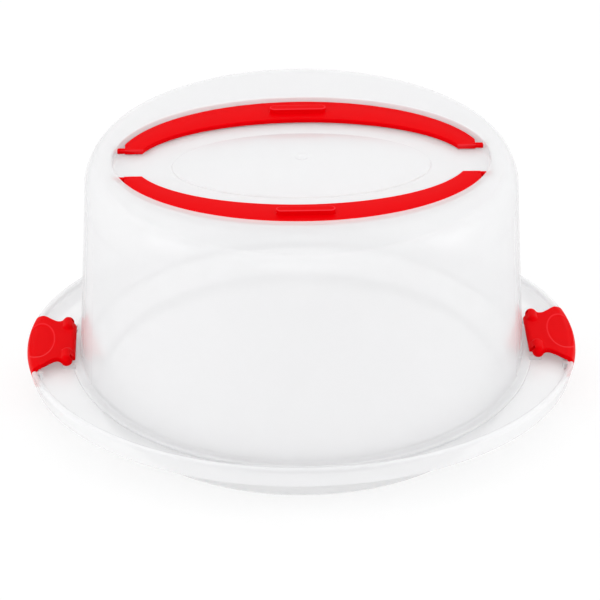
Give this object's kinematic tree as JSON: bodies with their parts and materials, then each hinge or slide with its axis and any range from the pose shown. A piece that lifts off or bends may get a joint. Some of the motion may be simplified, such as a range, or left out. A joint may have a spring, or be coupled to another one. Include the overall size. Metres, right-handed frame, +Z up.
{
  "type": "cake carrier",
  "caption": "Cake carrier: round domed lid with folding bail handles in its top and side latches, on an oval tray with a raised rim.",
  "frame": {"origin": "on the table, under the middle of the tray", "axes": "+X to the right latch along the tray's long axis, +Y to the rear, +Z up"},
  "size_m": [0.355, 0.309, 0.1673],
  "materials": {
    "clear_polypropylene": "natural translucent polypropylene, moulded smooth",
    "red_polypropylene": "opaque red polypropylene, moulded smooth"
  },
  "bodies": {
    "tray": {"tray": "clear_polypropylene"},
    "lid": {"lid": "clear_polypropylene"},
    "rear_handle": {"rear_handle": "red_polypropylene"},
    "front_handle": {"front_handle": "red_polypropylene"},
    "left_latch": {"left_latch": "red_polypropylene"},
    "right_latch": {"right_latch": "red_polypropylene"}
  },
  "joints": [
    {"name": "lid_lift", "type": "slide", "parent": "tray", "child": "lid", "axis": [0, 0, 1], "range_m": [0, 0.18]},
    {"name": "rear_handle_fold", "type": "hinge", "parent": "lid", "child": "rear_handle", "pos_m": [0, 0.01975, 0.162], "axis": [1, 0, 0], "range_deg": [0, 105]},
    {"name": "front_handle_fold", "type": "hinge", "parent": "lid", "child": "front_handle", "pos_m": [0, -0.01975, 0.162], "axis": [-1, 0, 0], "range_deg": [0, 105]},
    {"name": "left_latch_hinge", "type": "hinge", "parent": "lid", "child": "left_latch", "pos_m": [-0.1514, 0, 0.035], "axis": [0, 1, 0], "range_deg": [0, 95]},
    {"name": "right_latch_hinge", "type": "hinge", "parent": "lid", "child": "right_latch", "pos_m": [0.1514, 0, 0.035], "axis": [0, -1, 0], "range_deg": [0, 95]}
  ]
}
